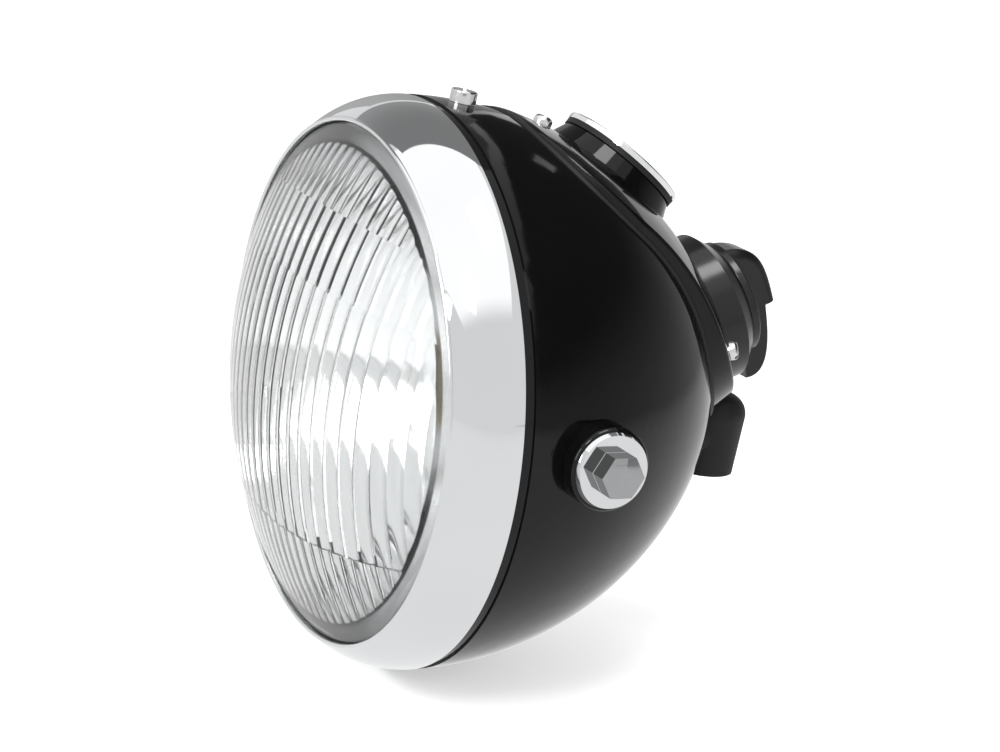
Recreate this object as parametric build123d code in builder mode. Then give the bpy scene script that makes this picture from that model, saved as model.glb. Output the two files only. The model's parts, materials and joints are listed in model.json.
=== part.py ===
"""Round motorcycle headlamp: pressed steel shell with a chromed rim and a fluted glass, a rear panel on a
rubber gasket with a gauge and a rotary lighting switch, side mounting bolts and a rubber cable elbow.

Millimetres. The glass faces -Y and +Z is up. The origin is on the axis of the two side mounting bolts, in
the lamp's middle plane. Sections of revolution are drawn in the XY plane: x is the radius, y the depth.
"""

import os
from math import asin, atan2, cos, degrees, hypot, radians, sin, sqrt, tan

from build123d import *

# Chromed rim
rim_rear_r = 94.0
rim_step = 8.3
rim_depth = 21.0
rim_wall = 0.9
rim_bead_r = 0.8
rim_hem = 0.7
rim_hem_depth = 1.2

# Pressed shell: a long side arc and a tangent rear arc
bolt_to_rim = 28.0
shell_wall = 1.1
shell_side_drop = 22.0
shell_blend_angle = 70.0
shell_neck_depth = 2.5
seat_band = 3.6
seat_drop = 0.7

# Light unit
lens_proud = 24.5
lens_wall = 5.0
lens_seat_angle = 25.0
lens_seal = 0.6
seal_fit = 0.05
seal_end_margin = 1.5
lens_border = 8.6
border_slope = 5.0
flute_pitch = 6.6
flute_height = 0.45
narrow_pitch = 5.4
tier_heights = (-46.0, 36.0, 58.0)
tier_step = 0.8
reflector_wall = 0.8
reflector_focus = 26.0
reflector_flange = 8.0
bulb_collar_r = 17.0
bulb_collar_depth = 5.0
clip_count = 6
clip_width_angle = 9.0
clip_wall = 0.45
clip_gap = 0.1

# Bulbs and their holders
bulb_r = 11.0
bulb_wall = 0.8
bulb_length = 46.0
bulb_cap_r = 11.8
bulb_flange = 1.2
bulb_cap_depth = 13.0
filament_r = 0.5
filament_span = 6.0
holder_wall = 1.6
holder_depth = 20.0
holder_fit = 0.2
pilot_drop = 36.0
pilot_r = 4.5
pilot_length = 15.0
pilot_sleeve_wall = 1.0
pilot_sleeve_depth = 16.0
pilot_rim = 1.6
pilot_tip_round = 4.0

# Rim screw and the tongue that it pulls on
rim_screw_angle = 7.0
rim_screw_head_r = 4.4
rim_screw_head = 4.2
rim_screw_r = 2.4
rim_screw_length = 9.0
rim_screw_crown = 0.7
slot_width = 1.2
slot_depth = 1.6
slot_turn = 65.0
tongue_wall = 1.5
tongue_width = 16.0
tongue_tail = 8.0
tongue_gap = 0.2

# Rear panel and gasket
panel_angle = 50.0
panel_width = 98.0
panel_length = 124.0
panel_corner = 40.0
panel_shift = 13.5
panel_angles = (15.0, 45.0, 72.0)
panel_rises = (1.3, 2.2, 4.6)
panel_axis_drop = 10.0
panel_wall = 1.2
panel_edge_round = 1.6
gasket = 0.8
gasket_proud = 1.4
gasket_width = 6.0
seat_gap = 0.2
opening_width = 56.0
opening_length = 97.0
opening_corner = 24.0
opening_shift = 17.5
panel_screw_head_r = 3.2
panel_screw_head = 2.8
panel_screw_r = 1.75
panel_screw_crown = 1.7
panel_screw_margin = 3.2
front_screw_inset = 10.8
panel_screw_turn = 24.0
panel_nut_across = 7.0
panel_nut = 3.0
hole_fit = 0.25

# Gauge in its raised collar
gauge_angle = 37.6
gauge_case_r = 19.2
gauge_case_depth = 26.0
gauge_wall = 0.8
collar_fit = 0.4
collar_wall = 2.0
collar_rise = 3.0
collar_foot = 8.0
collar_flare = 23.0
gauge_seal = 1.8
gauge_flange = 0.5
gauge_glass = 1.0
bezel_r = 22.4
bezel_wall = 0.6
bezel_round = 0.5
bezel_lip = 2.6
dial_depth = 4.0
dial_plate = 0.6
needle_plate = 0.6
needle_gap = 0.4
needle_hub_r = 2.4
needle_length = 15.0
needle_tail = 4.0
needle_width = 1.2
spindle_r = 0.8
spindle_fit = 0.08
stud_r = 2.0
stud_spacing = 20.0
stud_length = 9.0
clamp_wall = 1.5
clamp_width = 12.0
clamp_gap = 0.3
gauge_nut_across = 7.0
gauge_nut = 3.2

# Rotary lighting switch
switch_angle = 68.0
switch_body_r = 12.4
switch_body_depth = 24.0
switch_bush_r = 6.0
skirt_base_r = 26.0
skirt_step_r = 24.0
skirt_top_r = 21.0
skirt_step = 11.5
skirt_height = 14.5
skirt_foot = 6.5
skirt_wall = 2.0
skirt_floor = 1.5
switch_nut_across = 17.0
switch_nut = 3.0
shaft_r = 3.0
shaft_fit = 0.08
shaft_seat = 16.0
knob_gap = 0.4
knob_disc_r = 20.0
knob_disc = 3.4
knob_edge_round = 0.8
lobe_width = 15.0
lobe_rise = 13.6
lobe_front = 5.0
lobe_shoulder_rise = 7.4
lobe_shoulder_run = 3.4
lobe_foot = 4.0
lobe_round = 3.0
tail_width = 11.0
tail_wall = 3.0
tail_step = 2.6
tail_lift = 0.6
tail_reach = 29.2
tail_round = 1.2
grub_r = 1.5
grub_length = 6.0

# Side mounting bolts
bolt_r = 4.0
bolt_flange_r = 12.2
bolt_flange = 1.6
bolt_flange_taper = 20.0
bolt_hex = 12.7
bolt_hex_height = 7.0
bolt_hex_crown = 0.9
bolt_shank = 22.0
spacer_r = 13.4
spacer_face = 99.5
spacer_round = 1.6
bolt_clearance = 0.4
mount_nut_across = 15.0
mount_nut_depth = 8.0

# Rubber cable elbow
elbow_drop = 19.0
elbow_r = 12.8
elbow_end_r = 10.0
elbow_back = 123.3
elbow_end = 33.8
elbow_top = 6.0
elbow_round = 7.0
elbow_neck_r = 10.3
elbow_neck_wall = 2.6
elbow_lip_r = 12.6
elbow_lip = 2.4
outlet_r = 7.6
outlet_depth = 10.0
outlet_step = 0.8
elbow_fit = 0.2

# Worked-out places: rim arc, shell arcs, glass sphere, reflector and the local planes
rim_y = -bolt_to_rim
rim_arc_r = (rim_depth**2 + rim_step**2) / (2 * rim_step)
rim_centre = (rim_rear_r - rim_arc_r, rim_y)
rim_sweep = degrees(asin(rim_depth / rim_arc_r))
rim_inner_r = rim_arc_r - rim_wall
shoulder_r = rim_inner_r - lens_seal


def domed_form(side_centre, side_r, blend_angle):
    """Section of a domed form: a side arc, and a rear arc that is tangent to it and centred on the axis."""
    blend = radians(blend_angle)
    rear_centre = (0, side_centre[1] - side_centre[0] * tan(blend))
    return side_centre, side_r, rear_centre, side_r + side_centre[0] / cos(blend), blend_angle


shell_side_arc_r = rim_rear_r + shell_side_drop
shell_dome = domed_form((-shell_side_drop, rim_y), shell_side_arc_r, shell_blend_angle)
neck_outer_r = rim_rear_r - rim_wall - rim_hem - clip_wall - 2 * clip_gap

lens_edge = (rim_centre[0] + shoulder_r * cos(radians(rim_sweep)), rim_y - shoulder_r * sin(radians(rim_sweep)))
lens_apex = rim_y - rim_depth - lens_proud
lens_sag = lens_edge[1] - lens_apex
lens_r = (lens_edge[0] ** 2 + lens_sag**2) / (2 * lens_sag)
lens_centre = lens_apex + lens_r
seat_angle = radians(lens_seat_angle)
lens_back = (rim_centre[0] + shoulder_r * cos(seat_angle), rim_y - shoulder_r * sin(seat_angle))
flute_sphere_r = lens_r - lens_wall
flute_zone_r = lens_edge[0] - lens_border

bowl_r = flute_zone_r + border_slope
bowl_front = lens_back[1] + reflector_wall
vertex_y = bowl_front + bowl_r**2 / (4 * reflector_focus)
bulb_collar_front = vertex_y - bulb_collar_r**2 / (4 * reflector_focus)
seat_y = bulb_collar_front + bulb_collar_depth
panel_normal = (0, sin(radians(panel_angle)), cos(radians(panel_angle)))
panel_plane = Plane(origin=(0, rim_y, 0), x_dir=(1, 0, 0), z_dir=panel_normal)
panel_reach = 2 * rim_rear_r
halvings = 40
touching = 0.01


def arc_at(dome, out, depth):
    """Centre and radius of the dome's arc at a radius and a depth, and the angle there back from the mouth."""
    side_centre, side_r, rear_centre, rear_r, blend_angle = dome
    angle = degrees(atan2(depth - side_centre[1], out - side_centre[0]))
    if angle <= blend_angle:
        return side_centre, side_r, angle
    return rear_centre, rear_r, degrees(atan2(depth - rear_centre[1], out - rear_centre[0]))


def shell_point(angle, height=0.0):
    """Radius and depth of a point `height` above the shell, `angle` degrees back from the mouth."""
    side_centre, side_r, rear_centre, rear_r, blend_angle = shell_dome
    centre, radius = (side_centre, side_r) if angle <= blend_angle else (rear_centre, rear_r)
    lean = radians(angle)
    return centre[0] + (radius + height) * cos(lean), centre[1] + (radius + height) * sin(lean)


def shell_plane(angle, roll=0.0):
    """Plane on the shell's outer face, `angle` degrees back from the mouth and `roll` round from the top."""
    lean, turn = radians(angle), radians(roll)
    out, depth = shell_point(angle)
    normal = (cos(lean) * sin(turn), sin(lean), cos(lean) * cos(turn))
    return Plane(origin=(out * sin(turn), depth, out * cos(turn)), x_dir=(cos(turn), 0, -sin(turn)), z_dir=normal)


def shell_angles(across, along):
    """Angles back from the mouth and round from the top of the shell's point over a place in the panel's plane."""
    lean = radians(panel_angle)
    low, high = 0.0, panel_reach
    for _ in range(halvings):
        level = (low + high) / 2
        depth = rim_y + along * cos(lean) + level * sin(lean)
        height = level * cos(lean) - along * sin(lean)
        out = hypot(across, height)
        centre, radius, angle = arc_at(shell_dome, out, depth)
        if hypot(out - centre[0], depth - centre[1]) < radius:
            low = level
        else:
            high = level
    return angle, degrees(atan2(across, height))


panel_points = [shell_point(angle, rise) for angle, rise in zip(panel_angles, panel_rises)]
panel_arc = ThreePointArc(*[(out + panel_axis_drop, depth) for out, depth in panel_points])
panel_side_centre = (panel_arc.arc_center.X, panel_arc.arc_center.Y)
panel_rear = panel_arc @ 1
panel_blend_angle = degrees(atan2(panel_rear.Y - panel_side_centre[1], panel_rear.X - panel_side_centre[0]))
panel_dome = domed_form(panel_side_centre, panel_arc.radius, panel_blend_angle)
panel_rear_r = panel_dome[3]
panel_axis = Axis((0, 0, -panel_axis_drop), (0, 1, 0))
panel_section = Plane.XY.offset(-panel_axis_drop)


def panel_seat(plane):
    """Height of the panel's top above a plane on the shell, and its slope there."""
    low, high = 0.0, panel_reach
    for _ in range(halvings):
        height = (low + high) / 2
        point = plane.origin + plane.z_dir * height
        out = hypot(point.X, point.Z + panel_axis_drop)
        centre, radius, angle = arc_at(panel_dome, out, point.Y)
        if hypot(out - centre[0], point.Y - centre[1]) < radius:
            low = height
        else:
            high = height
    lean, turn = radians(angle), atan2(point.X, point.Z + panel_axis_drop)
    normal = Vector(cos(lean) * sin(turn), sin(lean), cos(lean) * cos(turn))
    return height, normal.cross(plane.z_dir).length


def dome_arcs(dome, height):
    """A dome's two arcs from the mouth's depth on, `height` above its face."""
    side_centre, side_r, rear_centre, rear_r, blend_angle = dome
    start = degrees(asin((rim_y - side_centre[1]) / (side_r + height)))
    side = CenterArc(side_centre, side_r + height, start, blend_angle - start)
    rear = CenterArc(rear_centre, rear_r + height, blend_angle, 90 - blend_angle)
    return side @ 0, rear @ 1


def dome_band(low, high):
    """Section of a skin that follows the shell between two heights above its outer face."""
    with BuildLine() as section:
        low_front, low_rear = dome_arcs(shell_dome, low)
        high_front, high_rear = dome_arcs(shell_dome, high)
        Line(low_front, high_front)
        Line(low_rear, high_rear)
    make_face(section.edges())


def dome_fill(dome, height):
    """Section of everything inside a dome, up to `height` above its face."""
    with BuildLine() as section:
        front, rear = dome_arcs(dome, height)
        Polyline(rear, (0, front.Y), front)
    make_face(section.edges())


def rim_band(inner, outer, start, end):
    """Section of a ring that follows the rim's arc, between two radii and two angles from its rear edge."""
    with BuildLine() as section:
        low = CenterArc(rim_centre, inner, -start, start - end)
        high = CenterArc(rim_centre, outer, -start, start - end)
        Line(low @ 0, high @ 0)
        Line(low @ 1, high @ 1)
    make_face(section.edges())


def panel_outline(margin, mode=Mode.ADD):
    """The rear panel's outline, grown by `margin`."""
    with Locations((0, panel_shift)):
        RectangleRounded(panel_width + 2 * margin, panel_length + 2 * margin, panel_corner + margin, mode=mode)


def parabola(vertex, inner_r, outer_r):
    """A parabola of the reflector's focus from one radius to another: a Bezier curve of three points."""
    inner_y = vertex - inner_r**2 / (4 * reflector_focus)
    outer_y = vertex - outer_r**2 / (4 * reflector_focus)
    middle = ((inner_r + outer_r) / 2, vertex - inner_r * outer_r / (4 * reflector_focus))
    return Bezier((inner_r, inner_y), middle, (outer_r, outer_y))


def on_panel_rim(edge):
    """Whether an edge runs round the top of the panel, and isn't the seam between its two arcs."""
    point = edge @ 0.5
    out = hypot(point.X, point.Z + panel_axis_drop)
    centre, radius, angle = arc_at(panel_dome, out, point.Y)
    on_top = abs(hypot(out - centre[0], point.Y - centre[1]) - radius) < touching
    return on_top and abs(angle - panel_blend_angle) > touching


gauge_plane = shell_plane(gauge_angle)
switch_plane = shell_plane(switch_angle)
gauge_side_plane = Plane(origin=gauge_plane.origin, x_dir=gauge_plane.y_dir, z_dir=(1, 0, 0))
lever_plane = Plane(origin=switch_plane.origin, x_dir=switch_plane.y_dir, z_dir=(1, 0, 0))
rim_screw_plane = shell_plane(rim_screw_angle)
screw_inset = gasket_width + panel_screw_margin
screw_turn = radians(panel_screw_turn)
screw_across = panel_width / 2 - panel_corner + (panel_corner - screw_inset) * cos(screw_turn)
screw_along = panel_shift + panel_length / 2 - panel_corner + (panel_corner - screw_inset) * sin(screw_turn)
panel_screw_angles = [
    shell_angles(0, panel_shift - panel_length / 2 + front_screw_inset),
    shell_angles(screw_across, screw_along),
    shell_angles(-screw_across, screw_along),
]
panel_screw_planes = [shell_plane(angle, roll) for angle, roll in panel_screw_angles]
bolt_plane = Plane(origin=(0, 0, 0), x_dir=(0, 1, 0), z_dir=(1, 0, 0))
elbow_plane = Plane(origin=(0, 0, -elbow_drop), x_dir=(1, 0, 0), z_dir=(0, 1, 0))
elbow_y = rim_y + elbow_back
outlet_plane = Plane(origin=(0, elbow_y, -elbow_end), x_dir=(1, 0, 0), z_dir=(0, 0, 1))
outlet_side_plane = Plane(origin=outlet_plane.origin, x_dir=(1, 0, 0), z_dir=(0, -1, 0))

os.makedirs("parts", exist_ok=True)


def keep(piece, name):
    """Labels a finished piece and writes it as one STEP file."""
    piece.part.label = name
    export_step(piece.part, f"parts/{name}.step")


# Forms that other pieces are cut to: inside and outside of the shell, the panel's top, what it clears and sits on
with BuildPart() as shell_inside:
    with BuildSketch(Plane.XY):
        dome_fill(shell_dome, -shell_wall)
    revolve(axis=Axis.Y)

with BuildPart() as shell_form:
    with BuildSketch(Plane.XY):
        dome_fill(shell_dome, 0)
    revolve(axis=Axis.Y)

with BuildPart() as panel_form:
    with BuildSketch(panel_section):
        dome_fill(panel_dome, 0)
    revolve(axis=panel_axis)

with BuildPart() as panel_floor:
    with BuildSketch(Plane.XY):
        dome_fill(shell_dome, seat_gap)
    revolve(axis=Axis.Y)

with BuildPart() as gasket_form:
    with BuildSketch(Plane.XY):
        dome_fill(shell_dome, gasket)
    revolve(axis=Axis.Y)
    with BuildSketch(panel_plane):
        panel_outline(-gasket_width)
    extrude(amount=panel_reach, mode=Mode.SUBTRACT)

# Shell: drawn steel bowl with a rolled-in band behind the rim and a short neck that enters it
band_r = rim_rear_r - seat_drop
with BuildPart() as lamp_shell:
    with BuildSketch(Plane.XY):
        dome_band(-shell_wall, 0)
        with Locations((band_r, rim_y)):
            Rectangle(rim_rear_r, seat_band, align=(Align.MIN, Align.MIN), mode=Mode.SUBTRACT)
        with Locations((band_r - shell_wall, rim_y)):
            Rectangle(shell_wall, seat_band + shell_wall, align=(Align.MIN, Align.MIN))
        with Locations((neck_outer_r - shell_wall, rim_y)):
            step_width = band_r - neck_outer_r + shell_wall
            Rectangle(step_width, shell_wall, align=(Align.MIN, Align.MIN))
        with Locations((neck_outer_r - shell_wall, rim_y + shell_wall)):
            Rectangle(shell_wall, shell_neck_depth + shell_wall, align=(Align.MIN, Align.MAX))
    revolve(axis=Axis.Y)
    with BuildSketch(panel_plane):
        with Locations((0, opening_shift)):
            RectangleRounded(opening_width, opening_length, opening_corner)
    extrude(amount=panel_reach, mode=Mode.SUBTRACT)
    with BuildSketch(bolt_plane):
        Circle(bolt_r + bolt_clearance)
    extrude(amount=panel_reach, both=True, mode=Mode.SUBTRACT)
    with BuildSketch(elbow_plane):
        Circle(elbow_neck_r + elbow_fit)
    extrude(amount=panel_reach, mode=Mode.SUBTRACT)
    for plane in [rim_screw_plane] + panel_screw_planes:
        shank_r = rim_screw_r if plane is rim_screw_plane else panel_screw_r
        with BuildSketch(plane):
            Circle(shank_r + hole_fit)
        extrude(amount=2 * shell_wall, both=True, mode=Mode.SUBTRACT)
keep(lamp_shell, "lamp_shell")

# Chromed rim: spun band with a rolled front bead and a hem inside its rear edge
with BuildPart() as lamp_rim:
    with BuildSketch(Plane.XY):
        rim_band(rim_inner_r, rim_arc_r, 0, rim_sweep)
        bead_r = rim_arc_r - rim_wall / 2
        bead_lean = radians(rim_sweep)
        with Locations((rim_centre[0] + bead_r * cos(bead_lean), rim_y - bead_r * sin(bead_lean))):
            Circle(rim_bead_r)
        with Locations((rim_rear_r - rim_wall - rim_hem, rim_y)):
            Rectangle(rim_hem + rim_wall / 2, rim_hem_depth, align=(Align.MIN, Align.MAX))
    revolve(axis=Axis.Y)
keep(lamp_rim, "lamp_rim")

# Rubber seal between the rim and the glass
with BuildPart() as lens_ring:
    with BuildSketch(Plane.XY):
        rim_band(shoulder_r + seal_fit, rim_inner_r, lens_seat_angle, rim_sweep - seal_end_margin)
    revolve(axis=Axis.Y)
keep(lens_ring, "lens_seal")


def flute_tier(low, high, pitch, sphere_r):
    """Air behind the glass between two heights: its front is a row of upright hollows, one for each flute."""
    start = asin(low / flute_sphere_r)
    sweep = asin(high / flute_sphere_r) - start
    edge_angle = asin(flute_zone_r / flute_sphere_r)
    count = round(2 * edge_angle * flute_sphere_r / pitch) + 1
    half = edge_angle * count / (count - 1)
    angles = [half * (2 * i / count - 1) for i in range(count + 1)]
    back = lens_centre - lens_back[1] - lens_wall
    axis_point = (0, lens_centre, 0)
    with BuildPart() as tier:
        with BuildSketch(Plane(origin=axis_point, x_dir=(1, 0, 0), z_dir=(0, sin(start), cos(start)))):
            with BuildLine():
                for a, b in zip(angles, angles[1:]):
                    middle, top_r = (a + b) / 2, sphere_r - flute_height
                    ThreePointArc(
                        (sphere_r * sin(a), -sphere_r * cos(a)),
                        (top_r * sin(middle), -top_r * cos(middle)),
                        (sphere_r * sin(b), -sphere_r * cos(b)),
                    )
                side = sphere_r * sin(half)
                edge = sphere_r * cos(half)
                Polyline((-side, -edge), (-side, -back * cos(half)), (side, -back * cos(half)), (side, -edge))
            make_face()
        revolve(axis=Axis(axis_point, (-1, 0, 0)), revolution_arc=degrees(sweep))
        with BuildSketch(Plane.XY):
            with BuildLine():
                depth = lens_back[1] - lens_apex
                Polyline((0, lens_back[1]), (bowl_r, lens_back[1]), (flute_zone_r, lens_back[1] - lens_wall))
                Polyline((flute_zone_r, lens_back[1] - lens_wall), (flute_zone_r, lens_apex - depth))
                Polyline((flute_zone_r, lens_apex - depth), (0, lens_apex - depth), (0, lens_back[1]))
            make_face()
        revolve(axis=Axis.Y, mode=Mode.INTERSECT)
    return tier.part


# Glass: domed outside, with tiers of upright flutes moulded on its inner face
tier_edges = (-bowl_r,) + tier_heights + (bowl_r,)
tier_pitches = (narrow_pitch, flute_pitch, flute_pitch, narrow_pitch)
tiers = [
    flute_tier(low, high, pitch, flute_sphere_r + tier_step * (i % 2))
    for i, (low, high, pitch) in enumerate(zip(tier_edges, tier_edges[1:], tier_pitches))
]
with BuildPart() as lens:
    with BuildSketch(Plane.XY):
        with BuildLine():
            face_turn = degrees(asin(lens_edge[0] / lens_r))
            CenterArc((0, lens_centre), lens_r, -90, face_turn)
            CenterArc(rim_centre, shoulder_r, -rim_sweep, rim_sweep - lens_seat_angle)
            Polyline(lens_back, (0, lens_back[1]), (0, lens_apex))
        make_face()
    revolve(axis=Axis.Y)
    for air in tiers:
        add(air, mode=Mode.SUBTRACT)
keep(lens, "lens")

# Reflector: parabolic bowl with a flange on the glass, a bulb collar and a pilot hole
with BuildPart() as reflector:
    with BuildSketch(Plane.XY):
        with BuildLine():
            inner = parabola(vertex_y, bulb_collar_r, bowl_r)
            outer = parabola(vertex_y + 2 * reflector_wall, bulb_collar_r + reflector_wall, bowl_r + reflector_wall)
            Polyline(
                inner @ 1,
                (bowl_r, lens_back[1]),
                (bowl_r + reflector_flange, lens_back[1]),
                (bowl_r + reflector_flange, bowl_front),
                (bowl_r + reflector_wall, bowl_front),
                outer @ 1,
            )
            Polyline(inner @ 0, (bulb_collar_r, seat_y), (bulb_collar_r + reflector_wall, seat_y), outer @ 0)
        make_face()
    revolve(axis=Axis.Y)
    with BuildSketch(Plane(origin=(0, 0, -pilot_drop), x_dir=(1, 0, 0), z_dir=(0, 1, 0))):
        Circle(pilot_r + pilot_sleeve_wall + hole_fit)
    extrude(amount=vertex_y, both=True, mode=Mode.SUBTRACT)
keep(reflector, "reflector")

# Spring clips that hold the light unit in the rim: from under the rim's hem to the reflector's flange
clip_r = rim_rear_r - rim_wall - rim_hem + clip_gap
clip_top = rim_y - rim_hem_depth
clip_bend = clip_top - shell_neck_depth
clip_foot = bowl_r + reflector_flange - 4 * clip_wall
with BuildPart() as rim_clips:
    for i in range(clip_count):
        turn = 90 + (i + 0.5) * 360 / clip_count - clip_width_angle / 2
        clip_x = (cos(radians(turn)), 0, -sin(radians(turn)))
        with BuildSketch(Plane(origin=(0, 0, 0), x_dir=clip_x, z_dir=(sin(radians(turn)), 0, cos(radians(turn))))):
            with BuildLine():
                Polyline(
                    (clip_r, clip_top),
                    (clip_r, clip_bend),
                    (clip_foot, bowl_front),
                    (bowl_r + reflector_wall + clip_gap, bowl_front),
                    (bowl_r + reflector_wall + clip_gap, bowl_front + clip_wall),
                    (clip_foot, bowl_front + clip_wall),
                    (clip_r - clip_wall, clip_bend),
                    (clip_r - clip_wall, clip_top),
                    close=True,
                )
            make_face()
        revolve(axis=Axis.Y, revolution_arc=clip_width_angle)
keep(rim_clips, "rim_clips")

# Main bulb: glass, filament and a brass cap with a flange that seats on the reflector's collar
glass_front = seat_y - bulb_length
with BuildPart() as bulb_glass:
    with BuildSketch(Plane.XY):
        with BuildLine():
            tip = glass_front + bulb_r
            outside = CenterArc((0, tip), bulb_r, -90, 90)
            inside = CenterArc((0, tip), bulb_r - bulb_wall, -90, 90)
            Line(outside @ 0, inside @ 0)
            Polyline(outside @ 1, (bulb_r, seat_y), (bulb_r - bulb_wall, seat_y), inside @ 1)
        make_face()
    revolve(axis=Axis.Y)
keep(bulb_glass, "bulb_glass")

with BuildPart() as bulb_cap:
    with BuildSketch(Plane.XY):
        with Locations((0, seat_y)):
            Rectangle(bulb_collar_r + reflector_wall, bulb_flange, align=(Align.MIN, Align.MIN))
            Rectangle(bulb_cap_r, bulb_cap_depth, align=(Align.MIN, Align.MIN))
    revolve(axis=Axis.Y)
keep(bulb_cap, "bulb_cap")

filament_y = vertex_y - reflector_focus
with BuildPart() as bulb_filament:
    for side in (-1, 1):
        with BuildSketch(Plane(origin=(side * filament_span / 2, seat_y, 0), x_dir=(1, 0, 0), z_dir=(0, -1, 0))):
            Circle(filament_r)
        extrude(amount=seat_y - filament_y + filament_r)
    with BuildSketch(Plane(origin=(0, filament_y, 0), x_dir=(0, 1, 0), z_dir=(1, 0, 0))):
        Circle(filament_r)
    extrude(amount=filament_span / 2, both=True)
keep(bulb_filament, "bulb_filament")

# Bulb holder: moulded cup that turns onto the collar and presses the cap to its seat
holder_r = bulb_collar_r + reflector_wall + holder_fit
with BuildPart() as bulb_holder:
    with BuildSketch(Plane.XY):
        with Locations((0, seat_y - bulb_collar_depth / 2)):
            Rectangle(holder_r + holder_wall, holder_depth, align=(Align.MIN, Align.MIN))
        with Locations((0, seat_y - bulb_collar_depth / 2)):
            cup_depth = bulb_collar_depth / 2 + bulb_flange
            Rectangle(holder_r, cup_depth, align=(Align.MIN, Align.MIN), mode=Mode.SUBTRACT)
        with Locations((0, seat_y)):
            Rectangle(bulb_cap_r, bulb_cap_depth, align=(Align.MIN, Align.MIN), mode=Mode.SUBTRACT)
    revolve(axis=Axis.Y)
    chamfer(bulb_holder.faces().sort_by(Axis.Y)[-1].edges(), holder_wall)
keep(bulb_holder, "bulb_holder")

# Pilot bulb and its spring sleeve, low in the bowl
pilot_plane = Plane(origin=(0, vertex_y - pilot_drop**2 / (4 * reflector_focus), -pilot_drop), z_dir=(0, 1, 0))
with BuildPart() as pilot_bulb:
    with BuildSketch(pilot_plane):
        Circle(pilot_r)
    extrude(amount=pilot_sleeve_depth - pilot_rim)
    with BuildSketch(pilot_plane):
        Circle(pilot_r)
    extrude(amount=-pilot_length)
    fillet(pilot_bulb.edges().group_by(Axis.Y)[0], pilot_tip_round)
keep(pilot_bulb, "pilot_bulb")

pilot_sleeve_r = pilot_r + pilot_sleeve_wall
pilot_high = pilot_drop - pilot_sleeve_r - pilot_rim
rim_start = (pilot_drop**2 - pilot_high**2) / (4 * reflector_focus) + 2 * reflector_wall + clip_gap
with BuildPart() as pilot_holder:
    with BuildSketch(pilot_plane):
        Circle(pilot_sleeve_r)
        Circle(pilot_r, mode=Mode.SUBTRACT)
    extrude(amount=pilot_sleeve_depth)
    with BuildSketch(pilot_plane):
        Circle(pilot_sleeve_r)
        Circle(pilot_r, mode=Mode.SUBTRACT)
    extrude(amount=-pilot_sleeve_r)
    with BuildSketch(pilot_plane.offset(pilot_sleeve_depth - pilot_rim)):
        Circle(pilot_sleeve_r)
    extrude(amount=pilot_rim)
    with BuildSketch(pilot_plane.offset(rim_start)):
        Circle(pilot_sleeve_r + pilot_rim)
        Circle(pilot_sleeve_r, mode=Mode.SUBTRACT)
    extrude(amount=pilot_rim)
keep(pilot_holder, "pilot_holder")

# Tongue welded inside the rim at the top, and the slotted screw that pulls it to the shell
screw_seat_y = rim_y + shell_side_arc_r * sin(radians(rim_screw_angle))
tongue_end = screw_seat_y + tongue_tail
tongue_drop = shell_side_arc_r - sqrt(shell_side_arc_r**2 - (tongue_end - rim_y) ** 2)
tongue_top = min(rim_rear_r - tongue_drop, neck_outer_r) - shell_wall - tongue_gap
tongue_front = rim_y - shell_neck_depth - 2 * tongue_wall
tongue_sag = tongue_top - sqrt(tongue_top**2 - (tongue_width / 2) ** 2)
with BuildPart() as tongue_foot:
    with BuildSketch(Plane.XY):
        with BuildLine():
            inside = CenterArc(rim_centre, rim_inner_r, 0, -rim_sweep)
            Polyline(inside @ 1, (0, (inside @ 1).Y), (0, rim_y), inside @ 0)
        make_face()
    revolve(axis=Axis.Y)
    with BuildSketch(Plane.YZ):
        with Locations((tongue_front, tongue_top - tongue_sag - tongue_wall)):
            Rectangle(tongue_wall, rim_rear_r, align=(Align.MIN, Align.MIN))
    extrude(amount=tongue_width / 2, both=True, mode=Mode.INTERSECT)

with BuildPart() as rim_tongue:
    with BuildSketch(Plane.YZ):
        with Locations((tongue_front, tongue_top - tongue_sag)):
            Rectangle(tongue_end - tongue_front, tongue_wall, align=(Align.MIN, Align.MAX))
    extrude(amount=tongue_width / 2, both=True)
    add(tongue_foot.part)
    with BuildSketch(rim_screw_plane):
        Circle(rim_screw_r)
    extrude(amount=-rim_screw_length, mode=Mode.SUBTRACT)
keep(rim_tongue, "rim_tongue")


def slotted_screw(plane, head_r, head, shank_r, length, crown):
    """Slotted screw with its head on `plane`, and its shank below it."""
    with BuildPart() as screw:
        with BuildSketch(plane):
            Circle(head_r)
        extrude(amount=head)
        fillet(screw.edges().filter_by(GeomType.CIRCLE).sort_by(Axis(plane.origin, plane.z_dir))[-1], crown)
        with BuildSketch(plane):
            Circle(shank_r)
        extrude(amount=-length)
        with BuildSketch(plane.offset(head)):
            Rectangle(slot_width, 2 * head_r, rotation=slot_turn)
        extrude(amount=-min(slot_depth, head / 2), mode=Mode.SUBTRACT)
    return screw.part


rim_screw_solid = slotted_screw(
    rim_screw_plane, rim_screw_head_r, rim_screw_head, rim_screw_r, rim_screw_length, rim_screw_crown
)
with BuildPart() as rim_screw:
    add(rim_screw_solid)
keep(rim_screw, "rim_screw")

# Rear panel: pressed dish that follows the shell, with a raised collar for the gauge
with BuildPart() as panel_hollow:
    with BuildSketch(panel_section):
        dome_fill(panel_dome, -panel_wall)
    revolve(axis=panel_axis)
    with BuildSketch(panel_plane):
        panel_outline(-panel_wall)
    extrude(amount=panel_reach, mode=Mode.INTERSECT)

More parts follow.
